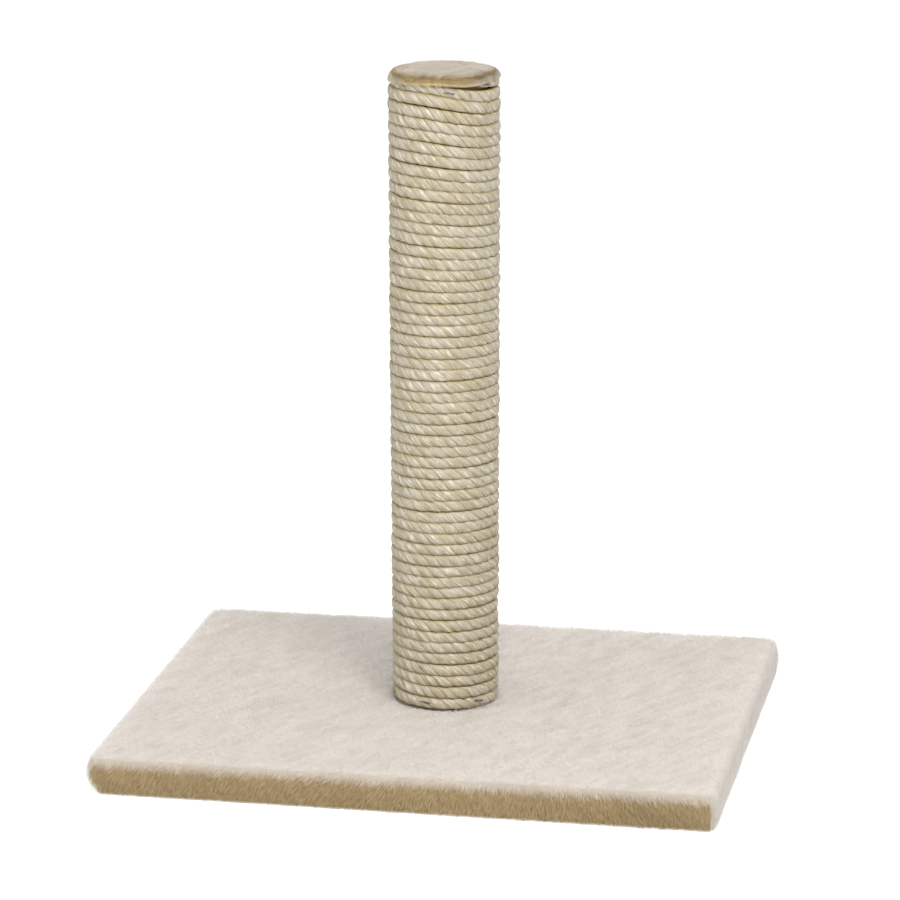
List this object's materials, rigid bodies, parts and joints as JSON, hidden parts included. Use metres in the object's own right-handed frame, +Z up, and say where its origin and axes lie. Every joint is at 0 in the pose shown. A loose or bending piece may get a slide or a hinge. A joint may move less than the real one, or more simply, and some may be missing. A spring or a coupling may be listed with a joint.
{
  "type": "cat scratching post",
  "caption": "Upright scratching post: a tube wound with sisal rope under a plush cap, bolted from below to a rectangular board wrapped in short plush.",
  "frame": {"origin": "centre of the footprint, on the floor", "axes": "+Z up along the post, X along the board's long side, Y along its short side, -Y towards the front"},
  "size_m": [0.45, 0.4, 0.5085],
  "materials": {
    "plush": "short beige plush pile",
    "sisal": "three-strand natural sisal",
    "chipboard": "raw chipboard",
    "cardboard": "wound grey-brown card",
    "softwood": "sawn softwood",
    "hardboard": "smooth hardboard",
    "zinc_steel": "bright zinc plating",
    "staple_wire": "dull galvanised wire"
  },
  "bodies": {
    "root": {"base_board": "chipboard", "base_plush": "plush", "hem_staple_front_1": "staple_wire", "hem_staple_front_2": "staple_wire", "hem_staple_front_3": "staple_wire", "hem_staple_front_4": "staple_wire", "hem_staple_front_5": "staple_wire", "hem_staple_back_1": "staple_wire", "hem_staple_back_2": "staple_wire", "hem_staple_back_3": "staple_wire", "hem_staple_back_4": "staple_wire", "hem_staple_back_5": "staple_wire", "hem_staple_left_1": "staple_wire", "hem_staple_left_2": "staple_wire", "hem_staple_left_3": "staple_wire", "hem_staple_left_4": "staple_wire", "hem_staple_right_1": "staple_wire", "hem_staple_right_2": "staple_wire", "hem_staple_right_3": "staple_wire", "hem_staple_right_4": "staple_wire", "post_tube": "cardboard", "base_plug": "softwood", "base_plug_nail_1": "zinc_steel", "base_plug_nail_2": "zinc_steel", "base_plug_nail_3": "zinc_steel", "top_plug": "softwood", "top_plug_nail_1": "zinc_steel", "top_plug_nail_2": "zinc_steel", "top_plug_nail_3": "zinc_steel", "tee_nut": "zinc_steel", "post_bolt": "zinc_steel", "bolt_washer": "zinc_steel", "sisal_rope": "sisal", "rope_staple_top_1": "staple_wire", "rope_staple_top_2": "staple_wire", "rope_staple_top_3": "staple_wire", "rope_staple_top_4": "staple_wire", "rope_staple_top_5": "staple_wire", "rope_staple_top_6": "staple_wire", "rope_staple_top_7": "staple_wire", "rope_staple_bottom_1": "staple_wire", "rope_staple_bottom_2": "staple_wire", "rope_staple_bottom_3": "staple_wire", "rope_staple_bottom_4": "staple_wire", "rope_staple_bottom_5": "staple_wire", "rope_staple_bottom_6": "staple_wire", "top_disc": "hardboard", "top_disc_screw": "zinc_steel", "top_plush": "plush"}
  },
  "joints": []
}
